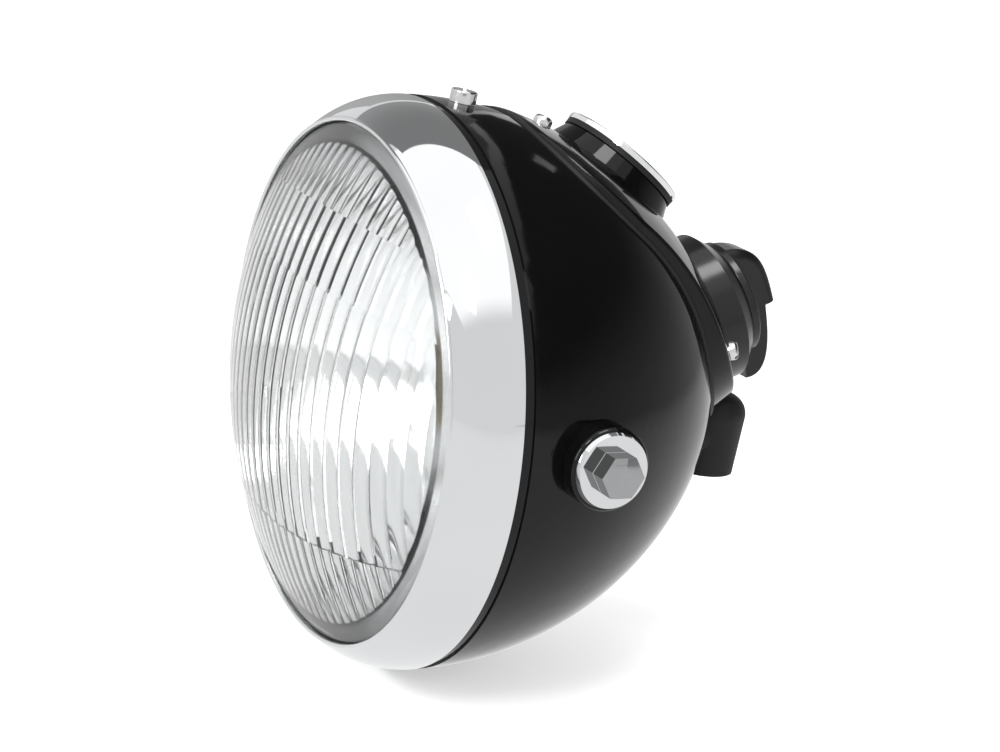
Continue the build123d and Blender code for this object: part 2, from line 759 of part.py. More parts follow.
gauge_seat, gauge_slope = panel_seat(gauge_plane)
collar_top = gauge_seat + collar_rise
collar_outer_r = gauge_case_r + collar_fit + collar_wall
with BuildPart() as gauge_collar:
    with BuildSketch(gauge_side_plane):
        with BuildLine():
            Polyline(
                (0, collar_top),
                (collar_outer_r, collar_top),
                (collar_outer_r + collar_foot * tan(radians(collar_flare)), collar_top - collar_foot),
                (0, collar_top - collar_foot),
                close=True,
            )
        make_face()
    revolve(axis=Axis(gauge_plane.origin, gauge_plane.z_dir))

with BuildPart() as panel:
    with BuildSketch(panel_section):
        dome_fill(panel_dome, 0)
    revolve(axis=panel_axis)
    with BuildSketch(panel_plane):
        panel_outline(0)
    extrude(amount=panel_reach, mode=Mode.INTERSECT)
    fillet(panel.edges().filter_by(on_panel_rim), panel_edge_round)
    add(gauge_collar.part)
    add(panel_hollow.part, mode=Mode.SUBTRACT)
    add(panel_floor.part, mode=Mode.SUBTRACT)
    add(gasket_form.part, mode=Mode.SUBTRACT)
    with BuildSketch(gauge_plane):
        Circle(gauge_case_r + collar_fit)
    extrude(amount=panel_reach, both=True, mode=Mode.SUBTRACT)
    with BuildSketch(switch_plane):
        Circle(switch_bush_r + hole_fit)
    extrude(amount=panel_reach, mode=Mode.SUBTRACT)
    for plane in panel_screw_planes:
        with BuildSketch(plane):
            Circle(panel_screw_r + hole_fit)
        extrude(amount=panel_reach, mode=Mode.SUBTRACT)
keep(panel, "panel")

# Rubber gasket under the panel's edge
with BuildPart() as panel_gasket:
    with BuildSketch(Plane.XY):
        dome_band(0, gasket)
    revolve(axis=Axis.Y)
    with BuildSketch(panel_plane):
        panel_outline(gasket_proud)
        panel_outline(-gasket_width, Mode.SUBTRACT)
    extrude(amount=panel_reach, mode=Mode.INTERSECT)
keep(panel_gasket, "panel_gasket")

# Panel screws through to nuts inside the shell
screw_grip = shell_wall + panel_nut + 2 * panel_wall
screw_seats = []
for plane in panel_screw_planes:
    seat, slope = panel_seat(plane)
    screw_seats.append(seat + panel_screw_head_r * slope)
panel_screw_solids = [
    slotted_screw(
        plane.offset(seat),
        panel_screw_head_r,
        panel_screw_head,
        panel_screw_r,
        seat + screw_grip,
        panel_screw_crown,
    )
    for plane, seat in zip(panel_screw_planes, screw_seats)
]
with BuildPart() as panel_screws:
    for solid in panel_screw_solids:
        add(solid)
keep(panel_screws, "panel_screws")

with BuildPart() as panel_nuts:
    for plane in panel_screw_planes:
        with BuildSketch(plane.offset(-shell_wall - panel_nut)):
            RegularPolygon(panel_nut_across / 2, 6, major_radius=False)
            Circle(panel_screw_r, mode=Mode.SUBTRACT)
        extrude(amount=panel_nut)
    add(shell_inside.part, mode=Mode.INTERSECT)
keep(panel_nuts, "panel_nuts")

# Gauge: solid movement case with studs, seal, dial, needle, glass and chromed bezel
seal_top = collar_top + gauge_seal
flange_top = seal_top + gauge_flange
glass_top = flange_top + gauge_glass
dial_top = flange_top - dial_depth
bezel_inner_r = bezel_r - bezel_wall
case_bottom = -gauge_case_depth
with BuildPart() as gauge_case:
    with BuildSketch(gauge_plane.offset(case_bottom)):
        Circle(gauge_case_r)
    extrude(amount=flange_top - case_bottom)
    with BuildSketch(gauge_plane.offset(seal_top)):
        Circle(bezel_inner_r)
    extrude(amount=gauge_flange)
    with BuildSketch(gauge_plane.offset(dial_top - dial_plate)):
        Circle(gauge_case_r - gauge_wall)
    extrude(amount=dial_depth + dial_plate, mode=Mode.SUBTRACT)
    with BuildSketch(gauge_plane.offset(dial_top - dial_plate)):
        Circle(spindle_r)
    extrude(amount=dial_plate + 2 * needle_gap + needle_plate)
    with BuildSketch(gauge_plane.offset(case_bottom)):
        with Locations((-stud_spacing / 2, 0), (stud_spacing / 2, 0)):
            Circle(stud_r)
    extrude(amount=-stud_length)
keep(gauge_case, "gauge_case")

with BuildPart() as gauge_ring:
    with BuildSketch(gauge_plane.offset(collar_top)):
        Circle(bezel_inner_r + bezel_wall / 2)
        Circle(gauge_case_r, mode=Mode.SUBTRACT)
    extrude(amount=gauge_seal)
keep(gauge_ring, "gauge_seal")

with BuildPart() as gauge_dial:
    with BuildSketch(gauge_plane.offset(dial_top - dial_plate)):
        Circle(gauge_case_r - gauge_wall)
        Circle(spindle_r, mode=Mode.SUBTRACT)
    extrude(amount=dial_plate)
keep(gauge_dial, "gauge_dial")

with BuildPart() as gauge_needle:
    with BuildSketch(gauge_plane.offset(dial_top + needle_gap)):
        Circle(needle_hub_r)
        with BuildLine():
            Polyline(
                (-needle_width, needle_tail),
                (needle_width, needle_tail),
                (needle_width / 3, -needle_length),
                (-needle_width / 3, -needle_length),
                close=True,
            )
        make_face()
        Circle(spindle_r + spindle_fit, mode=Mode.SUBTRACT)
    extrude(amount=needle_plate)
keep(gauge_needle, "gauge_needle")

with BuildPart() as gauge_window:
    with BuildSketch(gauge_plane.offset(flange_top)):
        Circle(bezel_inner_r)
    extrude(amount=gauge_glass)
keep(gauge_window, "gauge_glass")

with BuildPart() as gauge_bezel:
    with BuildSketch(gauge_plane.offset(seal_top)):
        Circle(bezel_r)
    extrude(amount=glass_top - seal_top + bezel_wall)
    fillet(gauge_bezel.faces().sort_by(Axis(gauge_plane.origin, gauge_plane.z_dir))[-1].edges(), bezel_round)
    with BuildSketch(gauge_plane.offset(seal_top)):
        Circle(bezel_inner_r)
    extrude(amount=glass_top - seal_top, mode=Mode.SUBTRACT)
    with BuildSketch(gauge_plane.offset(glass_top)):
        Circle(bezel_r - bezel_lip)
    extrude(amount=2 * bezel_wall, mode=Mode.SUBTRACT)
keep(gauge_bezel, "gauge_bezel")

# Strap across the back of the gauge, with its legs up against the panel, and two nuts
panel_under = gauge_seat - panel_wall
across_r = (gauge_plane.origin.Z + panel_axis_drop + panel_under * gauge_plane.z_dir.Z) / cos(radians(gauge_angle))
clamp_x = gauge_case_r + collar_fit + clamp_wall
leg_sag = clamp_width**2 / 8 / shell_side_arc_r + clamp_width / 2 * gauge_slope
leg_drop = across_r - sqrt(across_r**2 - clamp_x**2) + leg_sag
leg_top = panel_under - leg_drop - clamp_gap
with BuildPart() as gauge_clamp:
    with BuildSketch(Plane(origin=gauge_plane.origin, x_dir=(1, 0, 0), z_dir=-gauge_plane.y_dir)):
        with BuildLine():
            outside = clamp_x
            inside = clamp_x - clamp_wall
            Polyline(
                (-outside, leg_top),
                (-outside, case_bottom - clamp_wall),
                (outside, case_bottom - clamp_wall),
                (outside, leg_top),
                (inside, leg_top),
                (inside, case_bottom),
                (-inside, case_bottom),
                (-inside, leg_top),
                close=True,
            )
        make_face()
    extrude(amount=clamp_width / 2, both=True)
    with BuildSketch(gauge_plane.offset(case_bottom)):
        with Locations((-stud_spacing / 2, 0), (stud_spacing / 2, 0)):
            Circle(stud_r + hole_fit)
    extrude(amount=-2 * clamp_wall, mode=Mode.SUBTRACT)
keep(gauge_clamp, "gauge_clamp")

with BuildPart() as gauge_nuts:
    with BuildSketch(gauge_plane.offset(case_bottom - clamp_wall)):
        with Locations((-stud_spacing / 2, 0), (stud_spacing / 2, 0)):
            RegularPolygon(gauge_nut_across / 2, 6, major_radius=False)
            Circle(stud_r, mode=Mode.SUBTRACT)
    extrude(amount=-gauge_nut)
keep(gauge_nuts, "gauge_nuts")

# Lighting switch: body inside, threaded bush through the panel, skirt, nut, shaft, knob and grub screw
switch_seat, switch_slope = panel_seat(switch_plane)
body_sag = panel_rear_r - sqrt(panel_rear_r**2 - switch_body_r**2) + switch_body_r * switch_slope
body_top = switch_seat - panel_wall - body_sag
nut_seat = switch_seat + skirt_floor
nut_top = nut_seat + switch_nut
knob_seat = skirt_height + knob_gap
with BuildPart() as switch_body:
    with BuildSketch(switch_plane.offset(body_top)):
        Circle(switch_body_r)
    extrude(amount=-switch_body_depth)
    with BuildSketch(switch_plane.offset(body_top)):
        Circle(switch_bush_r)
    extrude(amount=nut_top + switch_nut / 3 - body_top)
    with BuildSketch(switch_plane.offset(body_top - shaft_seat)):
        Circle(shaft_r + shaft_fit)
    extrude(amount=panel_reach, mode=Mode.SUBTRACT)
keep(switch_body, "switch_body")

with BuildPart() as switch_skirt:
    with BuildSketch(lever_plane):
        with BuildLine():
            Polyline(
                (0, -skirt_foot),
                (skirt_base_r, -skirt_foot),
                (skirt_base_r, skirt_step - skirt_wall),
                (skirt_step_r, skirt_step),
                (skirt_top_r, skirt_height),
                (skirt_top_r - skirt_wall, skirt_height),
                (skirt_top_r - 2 * skirt_wall, nut_seat),
                (0, nut_seat),
                close=True,
            )
        make_face()
    revolve(axis=Axis(switch_plane.origin, switch_plane.z_dir))
    add(panel_form.part, mode=Mode.SUBTRACT)
    with BuildSketch(switch_plane):
        Circle(switch_bush_r + hole_fit)
    extrude(amount=panel_reach, mode=Mode.SUBTRACT)
keep(switch_skirt, "switch_skirt")

with BuildPart() as switch_nut_part:
    with BuildSketch(switch_plane.offset(nut_seat)):
        RegularPolygon(switch_nut_across / 2, 6, major_radius=False)
        Circle(switch_bush_r, mode=Mode.SUBTRACT)
    extrude(amount=switch_nut)
keep(switch_nut_part, "switch_nut")

shaft_bottom = body_top - shaft_seat + knob_gap
shaft_top = knob_seat + knob_disc + lobe_foot
with BuildPart() as switch_shaft:
    with BuildSketch(switch_plane.offset(shaft_bottom)):
        Circle(shaft_r)
    extrude(amount=shaft_top - shaft_bottom)
keep(switch_shaft, "switch_shaft")

disc_top = knob_seat + knob_disc
disc_middle = knob_seat + knob_disc / 2
lobe_top = disc_top + lobe_rise
lobe_back = knob_edge_round - knob_disc_r
tail_root = lobe_front - tail_wall
tail_base = knob_seat + tail_lift
with BuildPart() as knob_lobe:
    with BuildSketch(lever_plane):
        with BuildLine():
            ridge = Spline(
                (lobe_back, disc_middle),
                (lobe_back + lobe_shoulder_run, disc_top + lobe_shoulder_rise),
                (lobe_front, lobe_top),
                tangents=((0.2, 1), (1, 0)),
            )
            Polyline(ridge @ 1, (lobe_front, disc_middle), ridge @ 0)
        make_face()
    extrude(amount=lobe_width / 2, both=True)
    fillet(knob_lobe.edges().filter_by(GeomType.BSPLINE), lobe_round)

with BuildPart() as knob_tail:
    with BuildSketch(lever_plane):
        with BuildLine():
            over = Spline(
                (tail_root, lobe_top - tail_step),
                (tail_reach, tail_base),
                tangents=((1, -0.1), (-0.25, -1)),
            )
            Polyline(over @ 1, (tail_reach - tail_wall, tail_base), (tail_root, disc_middle), over @ 0)
        make_face()
    extrude(amount=tail_width / 2, both=True)
    fillet(knob_tail.edges().filter_by(GeomType.BSPLINE), tail_round)

grub_plane = Plane(origin=switch_plane.offset(knob_seat + knob_disc / 2).origin, z_dir=(-1, 0, 0))
with BuildPart() as switch_knob:
    with BuildSketch(switch_plane.offset(knob_seat)):
        Circle(knob_disc_r)
    extrude(amount=knob_disc)
    fillet(switch_knob.edges(), knob_edge_round)
    add(knob_lobe.part)
    add(knob_tail.part)
    with BuildSketch(switch_plane.offset(knob_seat)):
        Circle(shaft_r)
    extrude(amount=shaft_top - knob_seat, mode=Mode.SUBTRACT)
    with BuildSketch(grub_plane.offset(shaft_r)):
        Circle(grub_r)
    extrude(amount=panel_reach, mode=Mode.SUBTRACT)
keep(switch_knob, "switch_knob")

with BuildPart() as knob_screw:
    with BuildSketch(grub_plane.offset(shaft_r)):
        Circle(grub_r)
    extrude(amount=grub_length)
keep(knob_screw, "knob_screw")

# Side mounting bolts, the spacers under their flanges and the captive nuts inside the shell
with BuildPart() as mount_bolts:
    with BuildSketch(bolt_plane.offset(spacer_face)):
        Circle(bolt_flange_r)
    extrude(amount=bolt_flange, taper=bolt_flange_taper)
    with BuildSketch(bolt_plane.offset(spacer_face)):
        Circle(bolt_r)
    extrude(amount=-bolt_shank)
    with BuildSketch(bolt_plane.offset(spacer_face + bolt_flange)):
        RegularPolygon(bolt_hex / 2, 6, major_radius=False)
    extrude(amount=bolt_hex_height)
    with BuildSketch(Plane.XY):
        with BuildLine():
            top = spacer_face + bolt_flange + bolt_hex_height
            low = spacer_face - bolt_shank
            corner = bolt_hex / sqrt(3)
            brow = top - bolt_hex_crown
            crown = ThreePointArc((top, 0), (top - bolt_hex_crown / 4, corner / 2), (brow, corner))
            Polyline(crown @ 1, (brow, 2 * bolt_flange_r), (low, 2 * bolt_flange_r), (low, 0), (top, 0))
        make_face()
    revolve(axis=Axis.X, mode=Mode.INTERSECT)
    mirror(about=Plane.YZ)
keep(mount_bolts, "mount_bolts")

with BuildPart() as mount_spacers:
    with BuildSketch(bolt_plane.offset(spacer_face)):
        Circle(spacer_r)
    extrude(amount=-bolt_shank)
    fillet(mount_spacers.edges().sort_by(Axis.X)[-1], spacer_round)
    with BuildSketch(bolt_plane):
        Circle(bolt_r + bolt_clearance)
    extrude(amount=panel_reach, mode=Mode.SUBTRACT)
    add(shell_form.part, mode=Mode.SUBTRACT)
    mirror(about=Plane.YZ)
keep(mount_spacers, "mount_spacers")

with BuildPart() as mount_nuts:
    with BuildSketch(bolt_plane.offset(rim_rear_r)):
        RegularPolygon(mount_nut_across / 2, 6, major_radius=False)
        Circle(bolt_r, mode=Mode.SUBTRACT)
    extrude(amount=-2 * mount_nut_depth)
    add(shell_inside.part, mode=Mode.INTERSECT)
    mirror(about=Plane.YZ)
keep(mount_nuts, "mount_nuts")

# Rubber cable elbow: a neck through the shell, held by a lip inside, and a thimble open at the bottom
with BuildPart() as elbow_neck:
    with BuildSketch(elbow_plane):
        Circle(elbow_lip_r)
    extrude(amount=panel_reach)
    add(shell_inside.part, mode=Mode.INTERSECT)
    with BuildSketch(elbow_plane):
        Circle(elbow_neck_r)
    extrude(amount=elbow_y)
    with BuildSketch(Plane.XY):
        dome_fill(shell_dome, -shell_wall - elbow_lip)
    revolve(axis=Axis.Y, mode=Mode.SUBTRACT)

with BuildPart() as cable_elbow:
    with BuildSketch(outlet_side_plane):
        with BuildLine():
            thimble = elbow_end - elbow_top
            Polyline((0, 0), (elbow_end_r, 0), (elbow_r, thimble), (0, thimble), close=True)
        make_face()
    revolve(axis=Axis(outlet_plane.origin, outlet_plane.z_dir))
    fillet(cable_elbow.edges().sort_by(Axis.Z)[-1], elbow_round)
    add(elbow_neck.part)
    with BuildSketch(elbow_plane):
        Circle(elbow_neck_r - elbow_neck_wall)
    extrude(amount=elbow_y, mode=Mode.SUBTRACT)
    with BuildSketch(outlet_plane):
        Circle(outlet_r)
    extrude(amount=outlet_depth, mode=Mode.SUBTRACT)
    with BuildSketch(outlet_plane):
        Circle(outlet_r - outlet_step)
    extrude(amount=elbow_end - elbow_top - elbow_neck_wall, mode=Mode.SUBTRACT)
keep(cable_elbow, "cable_elbow")
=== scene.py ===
"""Looks of a round motorcycle headlamp: chromed rim and fluted glass, gloss black shell, rear panel with a
gauge and a lighting switch, side bolts and a rubber cable elbow. Metres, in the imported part's frame."""
import json
from math import asin, atan2, cos, pi, radians, sin, sqrt

import bmesh
import bpy
from mathutils import Matrix, Vector


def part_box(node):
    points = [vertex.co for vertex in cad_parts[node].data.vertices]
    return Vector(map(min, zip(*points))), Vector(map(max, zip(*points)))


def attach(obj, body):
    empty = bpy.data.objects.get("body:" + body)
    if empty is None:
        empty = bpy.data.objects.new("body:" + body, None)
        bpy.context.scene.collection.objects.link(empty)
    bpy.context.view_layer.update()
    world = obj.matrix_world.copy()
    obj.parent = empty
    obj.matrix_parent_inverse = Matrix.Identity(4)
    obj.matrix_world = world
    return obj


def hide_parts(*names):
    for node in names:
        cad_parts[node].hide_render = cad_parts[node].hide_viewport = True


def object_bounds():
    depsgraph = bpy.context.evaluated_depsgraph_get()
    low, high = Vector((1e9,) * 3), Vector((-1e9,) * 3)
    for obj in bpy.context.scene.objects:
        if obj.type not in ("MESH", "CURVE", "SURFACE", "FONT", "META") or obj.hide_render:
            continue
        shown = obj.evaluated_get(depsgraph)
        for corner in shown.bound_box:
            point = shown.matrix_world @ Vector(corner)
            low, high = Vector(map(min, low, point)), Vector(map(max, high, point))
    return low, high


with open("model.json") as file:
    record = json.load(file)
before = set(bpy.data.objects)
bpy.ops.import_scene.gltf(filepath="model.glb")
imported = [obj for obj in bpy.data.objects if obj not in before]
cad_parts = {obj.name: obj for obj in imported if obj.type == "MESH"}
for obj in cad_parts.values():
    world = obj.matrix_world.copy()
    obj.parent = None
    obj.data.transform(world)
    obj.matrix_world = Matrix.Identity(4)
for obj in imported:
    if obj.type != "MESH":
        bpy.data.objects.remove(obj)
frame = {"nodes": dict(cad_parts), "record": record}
solid_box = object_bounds()
nodes = frame["nodes"]

# Shell
# The bowl is drawn from sheet steel and stove enamelled in gloss black. Enamel flows a little before it sets,
# which leaves a faint orange peel. The other pieces are fixed to it.
number, colour, length = "NodeSocketFloat", "NodeSocketColor", "NodeSocketFloat"
mix_a, mix_b, mix_result = 6, 7, 2  # the colour sockets of a Mix node


def effect_group(name, inputs, output):
    """A new shader group with named inputs and one output: its tree, two ends and Object coordinates."""
    tree = bpy.data.node_groups.new(name, "ShaderNodeTree")
    for label, kind in inputs:
        tree.interface.new_socket(label, in_out="INPUT", socket_type=kind)
    tree.interface.new_socket(output[0], in_out="OUTPUT", socket_type=output[1])
    start = tree.nodes.new("NodeGroupInput")
    end = tree.nodes.new("NodeGroupOutput")
    place = tree.nodes.new("ShaderNodeTexCoord").outputs["Object"]
    return tree, start, end, place


def scaled_noise(tree, start, place, detail):
    """A noise of the group's own Scale over a place; returns its value."""
    noise = tree.nodes.new("ShaderNodeTexNoise")
    noise.inputs["Detail"].default_value = detail
    tree.links.new(place, noise.inputs["Vector"])
    tree.links.new(start.outputs["Scale"], noise.inputs["Scale"])
    return noise.outputs["Fac"]


wipe_marks, start, end, place = effect_group(
    "wipe_marks", [("Scale", number), ("Low", number), ("High", number)], ("Roughness", number)
)
noise_low, noise_high = 0.3, 0.7
spread = wipe_marks.nodes.new("ShaderNodeMapRange")
spread.inputs["From Min"].default_value = noise_low
spread.inputs["From Max"].default_value = noise_high
wipe_marks.links.new(scaled_noise(wipe_marks, start, place, detail=5), spread.inputs["Value"])
wipe_marks.links.new(start.outputs["Low"], spread.inputs["To Min"])
wipe_marks.links.new(start.outputs["High"], spread.inputs["To Max"])
wipe_marks.links.new(spread.outputs["Result"], end.inputs["Roughness"])

two_tone, start, end, place = effect_group(
    "two_tone", [("Scale", number), ("Dark", colour), ("Light", colour)], ("Color", colour)
)
blend = two_tone.nodes.new("ShaderNodeMix")
blend.data_type = "RGBA"
two_tone.links.new(scaled_noise(two_tone, start, place, detail=3), blend.inputs["Factor"])
two_tone.links.new(start.outputs["Dark"], blend.inputs[mix_a])
two_tone.links.new(start.outputs["Light"], blend.inputs[mix_b])
two_tone.links.new(blend.outputs[mix_result], end.inputs["Color"])

skin_grain, start, end, place = effect_group("skin_grain", [("Scale", number)], ("Height", number))
skin_grain.links.new(scaled_noise(skin_grain, start, place, detail=2), end.inputs["Height"])


def new_finish(name, tones, scale, roughness, grain=None, relief=skin_grain, **fixed):
    """A procedural material: two close tones, a roughness that wanders, and a relief as (scale, metres)."""
    material = bpy.data.materials.new(name)
    material.use_nodes = True
    tree = material.node_tree
    shader = tree.nodes["Principled BSDF"]
    for socket, value in fixed.items():
        shader.inputs[socket.replace("_", " ")].default_value = value
    tone = tree.nodes.new("ShaderNodeGroup")
    tone.node_tree = two_tone
    tone.inputs["Scale"].default_value = scale
    tone.inputs["Dark"].default_value = (*tones[0], 1)
    tone.inputs["Light"].default_value = (*tones[1], 1)
    tree.links.new(tone.outputs["Color"], shader.inputs["Base Color"])
    wipe = tree.nodes.new("ShaderNodeGroup")
    wipe.node_tree = wipe_marks
    wipe.inputs["Scale"].default_value = scale
    wipe.inputs["Low"].default_value = roughness[0]
    wipe.inputs["High"].default_value = roughness[1]
    tree.links.new(wipe.outputs["Roughness"], shader.inputs["Roughness"])
    if grain:
        skin = tree.nodes.new("ShaderNodeGroup")
        skin.node_tree = relief
        skin.inputs["Scale"].default_value = grain[0]
        bump = tree.nodes.new("ShaderNodeBump")
        bump.inputs["Strength"].default_value = 1.0
        bump.inputs["Distance"].default_value = grain[1]
        tree.links.new(skin.outputs["Height"], bump.inputs["Height"])
        tree.links.new(bump.outputs["Normal"], shader.inputs["Normal"])
    return material


def dress(material, *names):
    """Gives CAD nodes a finish."""
    for name in names:
        nodes[name].material_slots[0].material = material


black_enamel = new_finish(
    "black_enamel", ((0.0025, 0.0025, 0.0027), (0.004, 0.004, 0.0042)), 30, (0.04, 0.09),
    grain=(420, 0.000002), IOR=1.45, Specular_IOR_Level=0.3,
)
dress(black_enamel, "lamp_shell")

# Side bolts
# Flanged hexagon bolts, turned from steel and chromium plated, screwed into nuts behind the shell's wall. A
# turned spacer in the shell's black keeps each flange off the bowl, and the fork's lamp ear goes between the
# two. The hexagon is darkened in its colour, most of all on its flats: a painted dark reflection.
dress(black_enamel, "mount_spacers")
bolt_chrome = new_finish(
    "bolt_chrome", ((0.66, 0.67, 0.68), (0.72, 0.73, 0.74)), 160, (0.03, 0.08),
    grain=(900, 0.000002), Metallic=1.0,
)


def math_step(tree, operation, *inputs):
    """A Math node fed by links and plain numbers; returns its value."""
    node = tree.nodes.new("ShaderNodeMath")
    node.operation = operation
    for socket, value in zip(node.inputs, inputs):
        if isinstance(value, bpy.types.NodeSocket):
            tree.links.new(value, socket)
        else:
            socket.default_value = value
    return node.outputs[0]


# Painted dark reflection: the base colour is darkened on the hexagon's flats, and partly on its end face, by
# their place along the bolt.
painted_flat_shade, painted_end_shade_share = (0.1, 0.1, 0.1, 1), 0.55
flats_start, flats_end = 0.1013, 0.1072
tree = bolt_chrome.node_tree
parts = tree.nodes.new("ShaderNodeSeparateXYZ")
tree.links.new(tree.nodes.new("ShaderNodeTexCoord").outputs["Object"], parts.inputs[0])
reach_out = math_step(tree, "ABSOLUTE", parts.outputs["X"])
on_flats = math_step(tree, "COMPARE", reach_out, (flats_start + flats_end) / 2, (flats_end - flats_start) / 2)
on_end = math_step(tree, "GREATER_THAN", reach_out, flats_end)
painted_shade_mask = math_step(tree, "MULTIPLY_ADD", on_end, painted_end_shade_share, on_flats)
painted_shade_mix = tree.nodes.new("ShaderNodeMix")
painted_shade_mix.data_type = "RGBA"
painted_shade_mix.inputs[mix_b].default_value = painted_flat_shade
shader = tree.nodes["Principled BSDF"]
tree.links.new(shader.inputs["Base Color"].links[0].from_socket, painted_shade_mix.inputs[mix_a])
tree.links.new(painted_shade_mask, painted_shade_mix.inputs["Factor"])
tree.links.new(painted_shade_mix.outputs[mix_result], shader.inputs["Base Color"])
dress(bolt_chrome, "mount_bolts")
zinc_steel = new_finish(
    "zinc_steel", ((0.5, 0.5, 0.49), (0.66, 0.66, 0.65)), 220, (0.16, 0.32),
    grain=(2500, 0.000004), Metallic=1.0,
)
dress(zinc_steel, "mount_nuts")

# Cable elbow
# A moulded rubber thimble, pushed into a hole low in the back of the bowl and held by a lip inside. It is
# matte, with the dull bloom that black rubber takes on.
black_rubber = new_finish(
    "black_rubber", ((0.006, 0.006, 0.006), (0.014, 0.014, 0.0138)), 60, (0.45, 0.62),
    grain=(1500, 0.00002), Specular_IOR_Level=0.25,
)
dress(black_rubber, "cable_elbow")

# Rim
# A band spun from brass, polished and chromium plated, with a rolled front edge and a hem inside the rear
# one. What is left of the spinning are very fine lines round its axis.


def axis_place(tree, place):
    """The distance of a place from the lamp's axis, and its depth along it."""
    parts = tree.nodes.new("ShaderNodeSeparateXYZ")
    tree.links.new(place, parts.inputs[0])
    across = tree.nodes.new("ShaderNodeCombineXYZ")
    tree.links.new(parts.outputs["X"], across.inputs["X"])
    tree.links.new(parts.outputs["Z"], across.inputs["Y"])
    distance = tree.nodes.new("ShaderNodeVectorMath")
    distance.operation = "LENGTH"
    tree.links.new(across.outputs[0], distance.inputs[0])
    return distance.outputs["Value"], parts.outputs["Y"]


spun_lines, start, end, place = effect_group("spun_lines", [("Scale", number)], ("Height", number))
ring = spun_lines.nodes.new("ShaderNodeCombineXYZ")
for value, socket in zip(axis_place(spun_lines, place), ring.inputs):
    spun_lines.links.new(value, socket)
spun_lines.links.new(scaled_noise(spun_lines, start, ring.outputs[0], detail=2), end.inputs["Height"])

bright_chrome = new_finish(
    "bright_chrome", ((0.68, 0.69, 0.7), (0.73, 0.74, 0.75)), 25, (0.015, 0.05),
    grain=(900, 0.0000006), relief=spun_lines, Metallic=1.0,
)
rim_rear, rim_arc, rim_wall, rim_bead = (0.094, -0.028), 0.030716, 0.0009, 0.0008
rim_sweep, hem_width, hem_depth = radians(43.13), 0.0007, 0.0012
rim_steps, arc_steps, bead_steps, sharp_angle = 480, 36, 20, radians(40)


def on_rim(radius, angle):
    """Radius and depth of a point on the rim's section, `angle` forward from its rear edge."""
    return rim_rear[0] - rim_arc + radius * cos(angle), rim_rear[1] - radius * sin(angle)


def lathe(name, section, steps, material):
    """A closed section of (radius, depth) points turned about the lamp's axis, as a smooth mesh."""
    points = [(out * sin(2 * pi * i / steps), depth, out * cos(2 * pi * i / steps))
              for i in range(steps) for out, depth in section]
    size = len(section)
    faces = []
    for i in range(steps):
        here, there = i * size, (i + 1) % steps * size
        faces += [(here + j, here + (j + 1) % size, there + (j + 1) % size, there + j) for j in range(size)]
    mesh = bpy.data.meshes.new(name)
    mesh.from_pydata(points, [], faces)
    build = bmesh.new()
    build.from_mesh(mesh)
    bmesh.ops.recalc_face_normals(build, faces=build.faces)
    build.to_mesh(mesh)
    build.free()
    mesh.shade_smooth()
    mesh.set_sharp_from_angle(angle=sharp_angle)
    mesh.materials.append(material)
    return mesh


wall_middle = rim_arc - rim_wall / 2
bead_join = sqrt(rim_bead**2 - rim_wall**2 / 4)
arc_end = rim_sweep - bead_join / wall_middle
bead_turn = atan2(rim_wall / 2, -bead_join)
bead_centre = on_rim(wall_middle, rim_sweep)
section = [on_rim(rim_arc, arc_end * i / arc_steps) for i in range(arc_steps)]
for i in range(bead_steps + 1):
    turn = bead_turn * (1 - 2 * i / bead_steps)
    ahead, aside = rim_bead * cos(turn), rim_bead * sin(turn)
    section.append((bead_centre[0] - ahead * sin(rim_sweep) + aside * cos(rim_sweep),
                    bead_centre[1] - ahead * cos(rim_sweep) - aside * sin(rim_sweep)))
hem_start = asin(hem_depth / (rim_arc - rim_wall))
section += [on_rim(rim_arc - rim_wall, arc_end + (hem_start - arc_end) * i / arc_steps)
            for i in range(1, arc_steps + 1)]
hem_r = rim_rear[0] - rim_wall - hem_width
section += [(hem_r, rim_rear[1] - hem_depth), (hem_r, rim_rear[1])]


def new_piece(name, mesh, body):
    """A finished mesh as a piece that rides on a body."""
    piece = bpy.data.objects.new(name, mesh)
    bpy.context.scene.collection.objects.link(piece)
    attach(piece, body)
    return piece


rim_mesh = lathe("polished_rim", section, rim_steps, bright_chrome)
polished_rim = new_piece("polished_rim", rim_mesh, "lamp")
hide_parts("lamp_rim")

# Glass seal
# A ring of rubber in the rim's front edge, which the glass is pressed against. Its pale grey is painted
# light, standing in for the light on the glass's border.
# Painted light: the seal's pale grey stands in for the brightness of the border seen through the glass.
pale_rubber = new_finish(
    "pale_rubber", ((0.62, 0.62, 0.61), (0.72, 0.72, 0.71)), 60, (0.5, 0.65), grain=(1500, 0.00002)
)
dress(pale_rubber, "lens_seal")

# Glass
# A domed cap of pressed clear glass, smooth outside, with rows of upright flutes in four tiers inside.
# Pressing leaves faint waves in the outer face, and the plain border is lightly frosted.
pressed_glass = new_finish(
    "pressed_glass", ((0.97, 0.98, 0.98), (0.99, 1.0, 1.0)), 20, (0.05, 0.09),
    grain=(90, 0.000012), Transmission_Weight=1.0, IOR=1.47,
)
border_start, border_end, border_frost = 0.0758, 0.0763, 0.22
tree = pressed_glass.node_tree
distance, _ = axis_place(tree, tree.nodes.new("ShaderNodeTexCoord").outputs["Object"])
border = tree.nodes.new("ShaderNodeMapRange")
border.inputs["From Min"].default_value = border_start
border.inputs["From Max"].default_value = border_end
border.inputs["To Max"].default_value = border_frost
tree.links.new(distance, border.inputs["Value"])
shader = tree.nodes["Principled BSDF"]
frost = math_step(tree, "MAXIMUM", shader.inputs["Roughness"].links[0].from_socket, border.outputs["Result"])
tree.links.new(frost, shader.inputs["Roughness"])
dress(pressed_glass, "lens")

